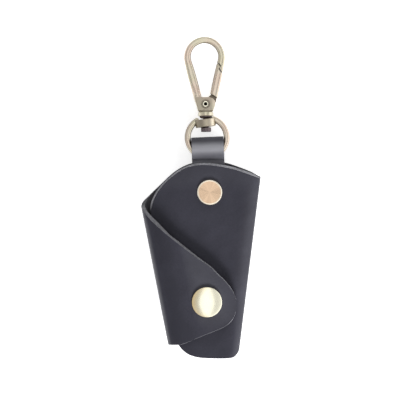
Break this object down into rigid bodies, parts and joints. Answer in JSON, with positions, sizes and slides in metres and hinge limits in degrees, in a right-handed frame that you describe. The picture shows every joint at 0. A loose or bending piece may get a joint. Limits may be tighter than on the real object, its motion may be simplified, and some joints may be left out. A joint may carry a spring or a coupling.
{
  "type": "key sleeve",
  "caption": "Folded leather key sleeve with a snap flap, a riveted strap, a split key ring inside and a swivel snap hook.",
  "frame": {"origin": "on the surface that the sleeve lies on, under the middle of the whole object", "axes": "+Z out of the front face that carries the flap and the rivet head, +Y along the sleeve up to the hook's crown, +X to the right as seen from the front"},
  "size_m": [0.0595, 0.1599, 0.0149],
  "materials": {
    "leather": "oiled leather, semi matt",
    "copper": "rose copper plating, turned",
    "pale_brass": "pale brass plating, polished",
    "antique_brass": "antique brass plating, satin",
    "gunmetal": "dark plated steel",
    "steel": "nickel plated steel"
  },
  "bodies": {
    "sleeve": {"sleeve_body": "leather", "strap_tail": "leather", "strap_front": "leather", "rivet_head": "copper", "rivet_back": "steel", "snap_stud": "steel", "snap_post": "steel"},
    "flap": {"closing_flap": "leather", "snap_cap": "pale_brass", "snap_socket": "steel", "snap_spring": "steel"},
    "eye": {"swivel_ring": "antique_brass", "strap_loop": "leather"},
    "hook": {"hook_frame": "antique_brass", "swivel_post": "gunmetal", "gate_pin": "pale_brass", "gate_spring": "steel"},
    "gate": {"hook_gate": "antique_brass"},
    "keys": {"key_ring": "steel"}
  },
  "joints": [
    {"name": "flap_fold", "type": "hinge", "parent": "sleeve", "child": "flap", "pos_m": [-0.02975, -0.0043, 0.0068], "axis": [0.1916, -0.9815, 0], "range_deg": [0, 170], "deforming": ["snap_spring"]},
    {"name": "eye_swing", "type": "hinge", "parent": "sleeve", "child": "eye", "pos_m": [0.00351, 0.0201, 0.0043], "axis": [0.999, 0.0436, 0], "range_deg": [-80, 80], "deforming": ["strap_loop"]},
    {"name": "hook_swivel", "type": "hinge", "parent": "eye", "child": "hook", "pos_m": [0.00236, 0.04137, 0.0043], "axis": [-0.0218, 0.9998, 0], "continuous": true},
    {"name": "gate_pivot", "type": "hinge", "parent": "hook", "child": "gate", "pos_m": [0.00226, 0.04631, 0.0043], "axis": [0, 0, 1], "range_deg": [0, 26], "stiffness_Nm_per_rad": 0.02, "springref_deg": -28.65, "deforming": ["gate_spring"]},
    {"name": "key_ring_turn", "type": "hinge", "parent": "sleeve", "child": "keys", "pos_m": [0.00533, -0.02156, 0.0043], "axis": [0, 0, 1], "continuous": true}
  ]
}
